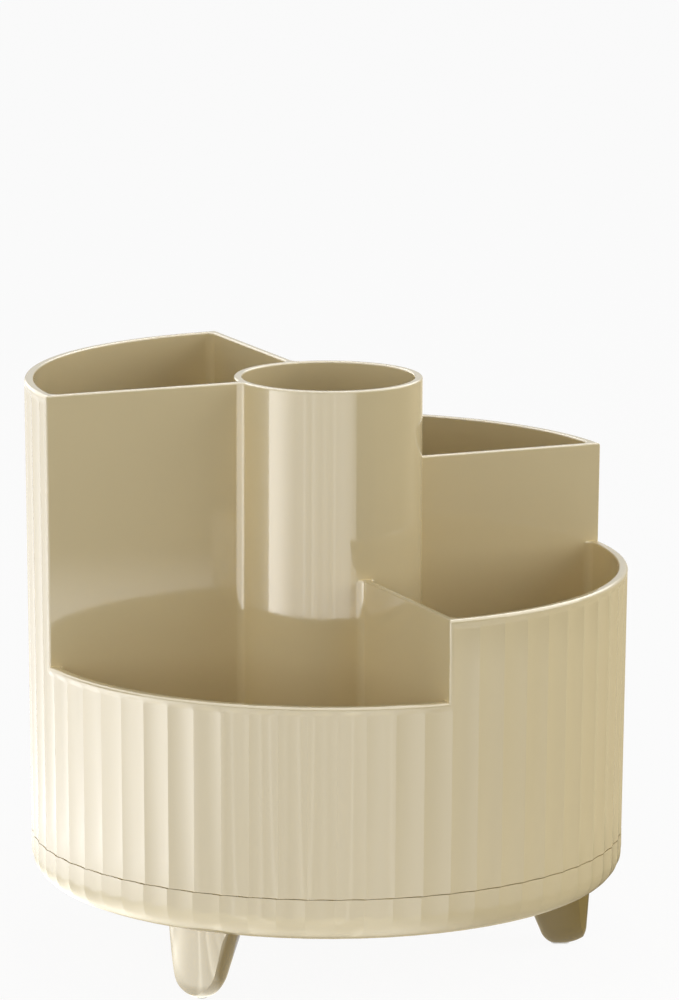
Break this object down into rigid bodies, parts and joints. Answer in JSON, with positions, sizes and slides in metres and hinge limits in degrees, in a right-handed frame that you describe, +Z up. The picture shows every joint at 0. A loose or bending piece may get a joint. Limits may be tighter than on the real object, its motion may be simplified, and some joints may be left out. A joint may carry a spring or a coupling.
{
  "type": "rotating makeup brush holder",
  "caption": "Round fluted vanity organizer: stepped quadrants and a centre tube on a turntable base with feet.",
  "frame": {"origin": "on the floor, at the bottom centre of the overall box, under the turning axis", "axes": "+Z up along the turning axis; the four dividers lie on X and Y; the lowest quadrant is -X -Y"},
  "size_m": [0.15, 0.1499, 0.1447],
  "materials": {
    "cream_gloss": "high gloss moulded ABS",
    "gold_gloss": "gold-toned, high gloss",
    "cream_inner": "as moulded, unpolished",
    "race_steel": "pressed, zinc plated",
    "ball_steel": "ground and polished",
    "screw_steel": "zinc plated",
    "brass": "knurled and turned",
    "natural_nylon": "satin",
    "white_acetal": "satin",
    "clear_silicone": "soft, slightly cloudy"
  },
  "bodies": {
    "base": {"base_tray": "cream_gloss", "foot_left": "gold_gloss", "foot_right": "gold_gloss", "foot_rear": "gold_gloss", "foot_pad_left": "clear_silicone", "foot_pad_right": "clear_silicone", "foot_pad_rear": "clear_silicone", "foot_screws": "screw_steel", "lower_race": "race_steel", "pivot_bush": "white_acetal", "thrust_washer": "white_acetal", "centre_cap": "cream_gloss"},
    "ball_ring": {"ball_cage": "natural_nylon", "bearing_balls": "ball_steel"},
    "organizer": {"organizer_cup": "cream_gloss", "turntable_plate": "cream_inner", "plate_screws": "screw_steel", "upper_race": "race_steel", "threaded_insert": "brass", "pivot_screw": "screw_steel", "disc_spring": "screw_steel"}
  },
  "joints": [
    {"name": "organizer_spin", "type": "hinge", "parent": "base", "child": "organizer", "pos_m": [0, 0, 0.0279], "axis": [0, 0, 1], "continuous": true},
    {"name": "ball_ring_spin", "type": "hinge", "parent": "base", "child": "ball_ring", "pos_m": [0, 0, 0.0253], "axis": [0, 0, 1], "continuous": true}
  ],
  "couplings": [
    {"joint": "ball_ring_spin", "follows": "organizer_spin", "ratio": 0.5}
  ]
}
